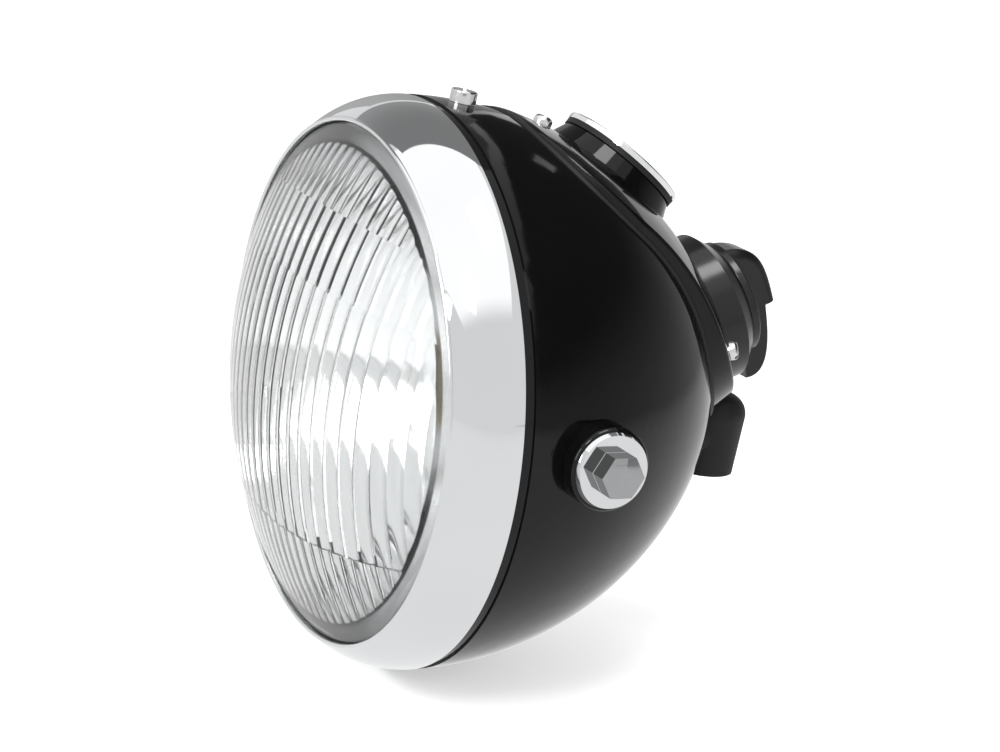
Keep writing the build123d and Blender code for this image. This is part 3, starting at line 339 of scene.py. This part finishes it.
# Reflector
# A pressed steel bowl, lacquered and silvered inside, clamped to the back of the glass.
bowl_silver = new_finish(
    "bowl_silver", ((0.79, 0.795, 0.8), (0.86, 0.865, 0.87)), 35, (0.03, 0.09),
    grain=(500, 0.000001), relief=spun_lines, Metallic=1.0,
)
dress(bowl_silver, "reflector")

# Rim clips
# Bent strips of zinc plated spring steel between the rim's hem and the reflector's flange, six in all.
dress(zinc_steel, "rim_clips")

# Main bulb
# A blown glass tube on a brass cap. Two support wires carry a coil of tungsten, wound and welded on at both
# ends, which stands at the reflector's focus.
clear_glass = new_finish(
    "clear_glass", ((0.98, 0.985, 0.985), (1.0, 1.0, 1.0)), 40, (0.0, 0.015),
    Transmission_Weight=1.0, IOR=1.45,
)
dress(clear_glass, "bulb_glass")
cap_brass = new_finish("cap_brass", ((0.34, 0.28, 0.18), (0.46, 0.39, 0.27)), 180, (0.2, 0.36), Metallic=1.0)
dress(cap_brass, "bulb_cap")
tungsten = new_finish("tungsten", ((0.3, 0.3, 0.29), (0.42, 0.42, 0.41)), 900, (0.3, 0.45), Metallic=1.0)


def rule_tree(name, inputs):
    """A new Geometry Nodes tree with named inputs: the tree, its two ends and a function that adds nodes."""
    tree = bpy.data.node_groups.new(name, "GeometryNodeTree")
    tree.is_modifier = True
    tree.interface.new_socket("Geometry", in_out="OUTPUT", socket_type="NodeSocketGeometry")
    for label, kind in inputs:
        tree.interface.new_socket(label, in_out="INPUT", socket_type=kind)
    start = tree.nodes.new("NodeGroupInput")
    end = tree.nodes.new("NodeGroupOutput")

    def step(kind, links=(), **values):
        node = tree.nodes.new(kind)
        for key, value in values.items():
            setattr(node, key, value)
        for output, socket in links:
            tree.links.new(output, node.inputs[socket])
        return node

    return tree, start, end, step


def close_tree(tree, start, end, step, geometry):
    """Ends a tree: instances are realized and the piece's material is set."""
    real = step("GeometryNodeRealizeInstances", [(geometry, "Geometry")])
    finish = step("GeometryNodeSetMaterial", [
        (real.outputs[0], "Geometry"), (start.outputs["Material"], "Material"),
    ])
    tree.links.new(finish.outputs[0], end.inputs["Geometry"])


def grow(tree, values):
    """Runs a tree with the given inputs and returns the result as a plain mesh."""
    carrier = bpy.data.objects.new(tree.name, bpy.data.meshes.new(tree.name))
    bpy.context.scene.collection.objects.link(carrier)
    rule = carrier.modifiers.new("rule", "NODES")
    rule.node_group = tree
    for item in tree.interface.items_tree:
        if item.in_out == "INPUT":
            rule[item.identifier] = values[item.name]
    depsgraph = bpy.context.evaluated_depsgraph_get()
    mesh = bpy.data.meshes.new_from_object(carrier.evaluated_get(depsgraph))
    bpy.data.objects.remove(carrier)
    return mesh


def join_meshes(name, meshes):
    """Placed meshes as one mesh, each face with its own finish."""
    joined = bpy.data.meshes.new(name)
    points, faces, looks = [], [], []
    for mesh in meshes:
        first = len(points)
        points += [tuple(v.co) for v in mesh.vertices]
        faces += [[first + i for i in face.vertices] for face in mesh.polygons]
        looks += [mesh.materials[face.material_index] for face in mesh.polygons]
    joined.from_pydata(points, [], faces)
    finishes = list(dict.fromkeys(looks))
    for finish in finishes:
        joined.materials.append(finish)
    for face, finish in zip(joined.polygons, looks):
        face.material_index = finishes.index(finish)
    return joined


coil_facets, wire_sides, post_sides = 20, 8, 12
coil_rule, start, end, step = rule_tree("filament_coil", [
    ("Turns", number), ("Coil Radius", length), ("Coil Length", length), ("Wire Radius", length),
    ("Material", "NodeSocketMaterial"),
])
spiral = step("GeometryNodeCurveSpiral", [
    (start.outputs["Turns"], "Rotations"), (start.outputs["Coil Radius"], "Start Radius"),
    (start.outputs["Coil Radius"], "End Radius"), (start.outputs["Coil Length"], "Height"),
])
spiral.inputs["Resolution"].default_value = coil_facets
wire = step("GeometryNodeCurvePrimitiveCircle", [(start.outputs["Wire Radius"], "Radius")])
wire.inputs["Resolution"].default_value = wire_sides
coil_wire = step("GeometryNodeCurveToMesh", [
    (spiral.outputs[0], "Curve"), (wire.outputs["Curve"], "Profile Curve"),
])
coil_wire.inputs["Fill Caps"].default_value = True
close_tree(coil_rule, start, end, step, coil_wire.outputs[0])

post_rule, start, end, step = rule_tree("filament_posts", [
    ("Span", length), ("Post Length", length), ("Wire Radius", length), ("Material", "NodeSocketMaterial"),
])
last = step("ShaderNodeMath", [(start.outputs["Span"], 0)], operation="MULTIPLY")
last.inputs[1].default_value = 0.5
first = step("ShaderNodeMath", [(start.outputs["Span"], 0)], operation="MULTIPLY")
first.inputs[1].default_value = -0.5
first_place = step("ShaderNodeCombineXYZ", [(first.outputs[0], "X")])
last_place = step("ShaderNodeCombineXYZ", [(last.outputs[0], "X")])
ends = step(
    "GeometryNodeMeshLine", [(first_place.outputs[0], "Start Location"), (last_place.outputs[0], "Offset")],
    mode="END_POINTS", count_mode="TOTAL",
)
ends.inputs["Count"].default_value = 2
post = step("GeometryNodeMeshCylinder", [
    (start.outputs["Wire Radius"], "Radius"), (start.outputs["Post Length"], "Depth"),
])
post.inputs["Vertices"].default_value = post_sides
pair = step("GeometryNodeInstanceOnPoints", [(ends.outputs[0], "Points"), (post.outputs["Mesh"], "Instance")])
close_tree(post_rule, start, end, step, pair.outputs[0])

filament_low, filament_high = (Vector(corner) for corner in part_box("bulb_filament"))
wire_r = (filament_high.z - filament_low.z) / 2
filament_span = filament_high.x - filament_low.x - 2 * wire_r
filament_y = filament_low.y + wire_r
post_length = filament_high.y - filament_y
coil_turns, coil_share, coil_wire_share, post_share = 14.0, 0.8, 0.2, 0.6
coil = grow(coil_rule, {
    "Turns": coil_turns, "Coil Radius": coil_share * wire_r, "Coil Length": filament_span,
    "Wire Radius": coil_wire_share * wire_r, "Material": tungsten,
})
coil.transform(Matrix.Translation((-filament_span / 2, filament_y, 0)) @ Matrix.Rotation(pi / 2, 4, "Y"))
posts = grow(post_rule, {
    "Span": filament_span, "Post Length": post_length, "Wire Radius": post_share * wire_r,
    "Material": zinc_steel,
})
posts.transform(Matrix.Translation((0, filament_y + post_length / 2, 0)) @ Matrix.Rotation(pi / 2, 4, "X"))
filament = new_piece("coiled_filament", join_meshes("coiled_filament", [coil, posts]), "lamp")
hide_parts("bulb_filament")

# Bulb holder
# A moulded cup of dull black plastic, which turns onto the reflector's collar and presses the cap home.
dull_plastic = new_finish(
    "dull_plastic", ((0.012, 0.012, 0.012), (0.022, 0.021, 0.02)), 60, (0.45, 0.6), grain=(900, 0.00002)
)
dress(dull_plastic, "bulb_holder")

# Pilot bulb
# A small glass bulb low in the bowl, in a zinc plated spring sleeve that clips into the reflector's hole.
dress(clear_glass, "pilot_bulb")
dress(zinc_steel, "pilot_holder")

# Rim screw
# A slotted screw with a bright plated head through the top of the shell, which pulls on the tongue welded
# inside the rim.
plated_screw = new_finish(
    "plated_screw", ((0.6, 0.6, 0.6), (0.74, 0.74, 0.74)), 300, (0.08, 0.2),
    grain=(1800, 0.000003), Metallic=1.0,
)
dress(plated_screw, "rim_screw")
dress(zinc_steel, "rim_tongue")

# Gasket
# A ring of soft black rubber, cut from sheet, between the panel's edge and the shell.
dress(black_rubber, "panel_gasket")

# Rear panel
# A dish pressed from sheet steel with a collar for the gauge, enamelled like the shell.
dress(black_enamel, "panel")

# Panel screws
# Three slotted screws with domed plated heads, through the panel, gasket and shell into nuts.
dress(plated_screw, "panel_screws")
dress(zinc_steel, "panel_nuts")

# Gauge case and seal
# A steel can in satin black with a rubber ring under its flange, held in the collar by a strap and two nuts.
satin_black = new_finish("satin_black", ((0.008, 0.008, 0.008), (0.015, 0.015, 0.015)), 70, (0.3, 0.42))
dress(satin_black, "gauge_case")
dress(black_rubber, "gauge_seal")
dress(zinc_steel, "gauge_clamp", "gauge_nuts")

# Gauge dial
# A pale enamelled plate with printed marks on either side of zero, and a thin black needle on its spindle.
dial_enamel = new_finish("dial_enamel", ((0.78, 0.78, 0.75), (0.86, 0.86, 0.84)), 90, (0.5, 0.6))
dress(dial_enamel, "gauge_dial")
needle_paint = new_finish("needle_paint", ((0.008, 0.008, 0.008), (0.016, 0.016, 0.016)), 400, (0.5, 0.65))
dress(needle_paint, "gauge_needle")

mark_rule, start, end, step = rule_tree("dial_marks", [
    ("Count", "NodeSocketInt"), ("Ring Radius", length), ("Start Angle", number), ("Step Angle", number),
    ("Mark Length", length), ("Mark Width", length), ("Print Height", length),
    ("Material", "NodeSocketMaterial"),
])
spots = step("GeometryNodePoints", [(start.outputs["Count"], "Count")])
index = step("GeometryNodeInputIndex")
turned = step(
    "ShaderNodeMath", [(index.outputs[0], 0), (start.outputs["Step Angle"], 1)], operation="MULTIPLY"
)
angle = step("ShaderNodeMath", [(turned.outputs[0], 0), (start.outputs["Start Angle"], 1)], operation="ADD")
aside = step("ShaderNodeMath", [(angle.outputs[0], 0)], operation="COSINE")
along = step("ShaderNodeMath", [(angle.outputs[0], 0)], operation="SINE")
direction = step("ShaderNodeCombineXYZ", [(aside.outputs[0], "X"), (along.outputs[0], "Y")])
on_ring = step(
    "ShaderNodeVectorMath", [(direction.outputs[0], 0), (start.outputs["Ring Radius"], "Scale")],
    operation="SCALE",
)
placed = step("GeometryNodeSetPosition", [(spots.outputs[0], "Geometry"), (on_ring.outputs[0], "Position")])
mark_size = step("ShaderNodeCombineXYZ", [
    (start.outputs["Mark Length"], "X"), (start.outputs["Mark Width"], "Y"),
    (start.outputs["Print Height"], "Z"),
])
mark = step("GeometryNodeMeshCube", [(mark_size.outputs[0], "Size")])
turn = step("ShaderNodeCombineXYZ", [(angle.outputs[0], "Z")])
marks = step("GeometryNodeInstanceOnPoints", [
    (placed.outputs[0], "Points"), (mark.outputs["Mesh"], "Instance"), (turn.outputs[0], "Rotation"),
])
close_tree(mark_rule, start, end, step, marks.outputs[0])

swing = next(joint for joint in frame["record"]["behaviour"]["joints"] if joint["name"] == "needle_swing")
gauge_centre, gauge_normal = Vector(swing["pos_m"]), Vector(swing["axis"]).normalized()
dial_top = max((vertex.co - gauge_centre).dot(gauge_normal) for vertex in nodes["gauge_dial"].data.vertices)
print_height = 0.00006
dial_across = Vector((1, 0, 0))
dial_up = -gauge_normal.cross(dial_across)
dial_frame = Matrix((dial_across, dial_up, gauge_normal)).transposed().to_4x4()
dial_frame.translation = gauge_centre + gauge_normal * (dial_top + print_height / 2)
dial_ring = 0.0148
sweep = radians(90)
scales = []
for count, mark_length, mark_width in ((5, 0.0032, 0.0007), (21, 0.0018, 0.0003)):
    scales.append(grow(mark_rule, {
        "Count": count, "Ring Radius": dial_ring - mark_length / 2, "Start Angle": pi / 2 - sweep / 2,
        "Step Angle": sweep / (count - 1), "Mark Length": mark_length, "Mark Width": mark_width,
        "Print Height": print_height, "Material": needle_paint,
    }))
for scale in scales:
    scale.transform(dial_frame)
new_piece("dial_marks", join_meshes("dial_marks", scales), "lamp")

# Gauge window and bezel
# A disc of clear glass, and the chromed bezel that is rolled over it and the case's flange.
dress(clear_glass, "gauge_glass")
bezel_chrome = new_finish(
    "bezel_chrome", ((0.78, 0.79, 0.8), (0.85, 0.86, 0.87)), 120, (0.03, 0.08),
    grain=(1200, 0.000001), Metallic=1.0,
)
dress(bezel_chrome, "gauge_bezel")

# Lighting switch
# A moulded body under the panel with a threaded bush through it, held by a nut inside the round skirt, and a
# steel shaft.
dress(dull_plastic, "switch_body")
dress(zinc_steel, "switch_nut", "switch_shaft")
knob_plastic = new_finish(
    "knob_plastic", ((0.004, 0.004, 0.004), (0.008, 0.008, 0.008)), 45, (0.16, 0.24),
    grain=(1200, 0.000006), Specular_IOR_Level=0.4,
)
dress(knob_plastic, "switch_skirt")

# Switch knob
# A lever knob moulded in polished black plastic, with a lobe for the thumb and a thin tail, held on the shaft
# by a grub screw.
dress(knob_plastic, "switch_knob")
dress(zinc_steel, "knob_screw")

# Floor and surround
# A pale floor that keeps the lamp's shadow, and a surround. Both are white to the camera and a little greyer
# in chrome and glass.
reach, floor_gap, floor_lift = 6.0, 0.0005, 0.42
floor_z = solid_box[0][2] - floor_gap
floor_mesh = bpy.data.meshes.new("floor")
floor_mesh.from_pydata(
    [(-reach, -reach, floor_z), (reach, -reach, floor_z), (reach, reach, floor_z), (-reach, reach, floor_z)],
    [], [(0, 1, 2, 3)],
)
floor = bpy.data.objects.new("floor", floor_mesh)
bpy.context.scene.collection.objects.link(floor)

pale_floor = new_finish("pale_floor", ((0.86, 0.86, 0.86), (0.88, 0.88, 0.88)), 2, (0.85, 0.95))
tree = pale_floor.node_tree
rays = tree.nodes.new("ShaderNodeLightPath").outputs
glow = tree.nodes.new("ShaderNodeEmission")
tree.links.new(math_step(tree, "MULTIPLY", rays["Is Camera Ray"], floor_lift), glow.inputs["Strength"])
both = tree.nodes.new("ShaderNodeAddShader")
tree.links.new(tree.nodes["Principled BSDF"].outputs[0], both.inputs[0])
tree.links.new(glow.outputs[0], both.inputs[1])
tree.links.new(both.outputs[0], tree.nodes["Material Output"].inputs["Surface"])
floor_mesh.materials.append(pale_floor)

sky_tone, mirror_share = (0.76, 0.76, 0.76, 1), 0.5
world = bpy.data.worlds.new("surround")
bpy.context.scene.world = world
world.use_nodes = True
tree = world.node_tree
sky = tree.nodes["Background"]
sky.inputs["Color"].default_value = sky_tone
white = tree.nodes.new("ShaderNodeBackground")
white.inputs["Color"].default_value = (1, 1, 1, 1)
choose = tree.nodes.new("ShaderNodeMixShader")
rays = tree.nodes.new("ShaderNodeLightPath").outputs
mirrored = math_step(tree, "MAXIMUM", rays["Is Glossy Ray"], rays["Is Transmission Ray"])
seen = math_step(tree, "MULTIPLY_ADD", mirrored, mirror_share, rays["Is Camera Ray"])
tree.links.new(seen, choose.inputs["Fac"])
tree.links.new(sky.outputs[0], choose.inputs[1])
tree.links.new(white.outputs[0], choose.inputs[2])
tree.links.new(choose.outputs[0], tree.nodes["World Output"].inputs["Surface"])

# Studio flags
# Cards that a photographer stands round a shiny object, seen only in what mirrors them. A dark wall behind
# keeps the enamel black, a grey card overhead puts the dark block on the rim's top, a light one its white
# side, and cards on the floor its light grey.


def flag(name, corners, axis, span, tones):
    """A flat card seen only in reflections, whose brightness goes from one tone to another along an axis."""
    mesh = bpy.data.meshes.new(name)
    mesh.from_pydata(corners, [], [tuple(range(len(corners)))])
    material = bpy.data.materials.new(name)
    material.use_nodes = True
    tree = material.node_tree
    tree.nodes.remove(tree.nodes["Principled BSDF"])
    place = tree.nodes.new("ShaderNodeTexCoord")
    parts = tree.nodes.new("ShaderNodeSeparateXYZ")
    tree.links.new(place.outputs["Object"], parts.inputs[0])
    grade = tree.nodes.new("ShaderNodeMapRange")
    grade.interpolation_type = "SMOOTHSTEP"
    for socket, value in zip(("From Min", "From Max", "To Min", "To Max"), (*span, *tones)):
        grade.inputs[socket].default_value = value
    tree.links.new(parts.outputs[axis], grade.inputs["Value"])
    glow = tree.nodes.new("ShaderNodeEmission")
    tree.links.new(grade.outputs["Result"], glow.inputs["Strength"])
    tree.links.new(glow.outputs[0], tree.nodes["Material Output"].inputs["Surface"])
    mesh.materials.append(material)
    card = bpy.data.objects.new(name, mesh)
    for ray in ("camera", "diffuse", "shadow", "transmission", "volume_scatter"):
        setattr(card, "visible_" + ray, False)
    bpy.context.scene.collection.objects.link(card)


wall_y, wall_r, wall_sides, wall_turn = 1.5, 2.55, 24, radians(118)
wall = [(wall_r * cos(wall_turn * i / wall_sides), wall_y, floor_z + wall_r * sin(wall_turn * i / wall_sides))
        for i in range(wall_sides + 1)]
wall += [(-2.4, wall_y, 1.5), (-2.4, wall_y, 0.75), (-1.0, wall_y, 0.5), (-0.75, wall_y, floor_z)]
flag("rear_flag", wall, axis="Z", span=(floor_z, 0.9), tones=(0.45, 0.04))
card_lift, meet_y = 0.001, 0.3
card_z = floor_z + card_lift
near_corner, wall_corner = (0.54, meet_y, card_z), (2.7, wall_y, card_z)
flag("rear_floor_flag", [
    (-1.2, meet_y, card_z), near_corner, wall_corner, (-0.75, wall_y, card_z),
], axis="Y", span=(meet_y, 1.2), tones=(0.95, 0.45))
flag("front_floor_flag", [
    (-0.3, -reach, card_z), (reach, -reach, card_z), (reach, wall_y, card_z), wall_corner, near_corner,
    (-0.3, meet_y, card_z),
], axis="X", span=(0.2, 2.5), tones=(0.98, 0.88))
overhead_z = 1.4
flag("overhead_flag", [
    (-0.95, -0.7, overhead_z), (-0.35, 0.78, overhead_z), (-1.6, 1.12, overhead_z),
    (-2.2, 1.49, overhead_z), (-3.2, 1.49, overhead_z), (-3.2, -0.7, overhead_z),
], axis="X", span=(-3.2, -1.2), tones=(0.36, 0.25))
side_x, side_span, side_top = -2.5, (0.3, 1.5), 1.0
flag("side_flag", [
    (side_x, side_span[0], floor_z), (side_x, side_span[1], floor_z),
    (side_x, side_span[1], side_top), (side_x, side_span[0], side_top),
], axis="Y", span=side_span, tones=(0.5, 0.35))
light_z = 1.45
flag("overhead_light", [
    (-1.6, -1.9, light_z), (1.9, -1.9, light_z), (1.9, 0.6, light_z), (-0.6, 0.6, light_z),
], axis="X", span=(1.3, 1.9), tones=(1.38, 0.9))
window_y = 1.45
flag("window_light", [
    (-1.25, window_y, 1.36), (-1.08, window_y, 1.5), (-0.9, window_y, 1.33), (-1.05, window_y, 1.2),
], axis="X", span=(-1.3, -0.9), tones=(0.7, 1.1))

# Lamps
# Soft boxes: a wide one in front, two small ones above for the highlights on the gauge's collar and on the
# knob, and one at the side that only lights.


def softbox(name, position, size, power, mirrored):
    """A square area lamp that faces the lamp's middle, mirrored in gloss or not."""
    light = bpy.data.lights.new(name, "AREA")
    light.size = size
    light.energy = power
    lamp = bpy.data.objects.new(name, light)
    lamp.location = position
    lamp.rotation_euler = (-Vector(position)).to_track_quat("-Z", "Y").to_euler()
    lamp.visible_camera = False
    lamp.visible_glossy = mirrored
    bpy.context.scene.collection.objects.link(lamp)


softbox("key", (0.42, -1.75, 0.7), size=0.9, power=12, mirrored=True)
softbox("collar_light", (0.98, -0.8, 1.2), size=0.36, power=8, mirrored=True)
softbox("knob_light", (0.35, 0.1, 1.38), size=0.45, power=6, mirrored=True)
softbox("fill", (1.6, 0.6, 0.9), size=0.8, power=4, mirrored=False)

# Camera
# Where the photographer stood, in front of the lamp's side and a little above it.
view = bpy.data.cameras.new("view")
view.lens = 108
view.sensor_width = 36
view_line, view_roll = Vector((-0.8534, 0.4557, -0.2529)), radians(6.62)
camera = bpy.data.objects.new("camera", view)
camera.location = (0.85295, -0.44414, 0.25394)
looking = view_line.to_track_quat("-Z", "Y").to_matrix()
camera.rotation_euler = (looking @ Matrix.Rotation(view_roll, 3, "Z")).to_euler()
bpy.context.scene.collection.objects.link(camera)
bpy.context.scene.camera = camera
bpy.context.scene.view_settings.view_transform = "Standard"
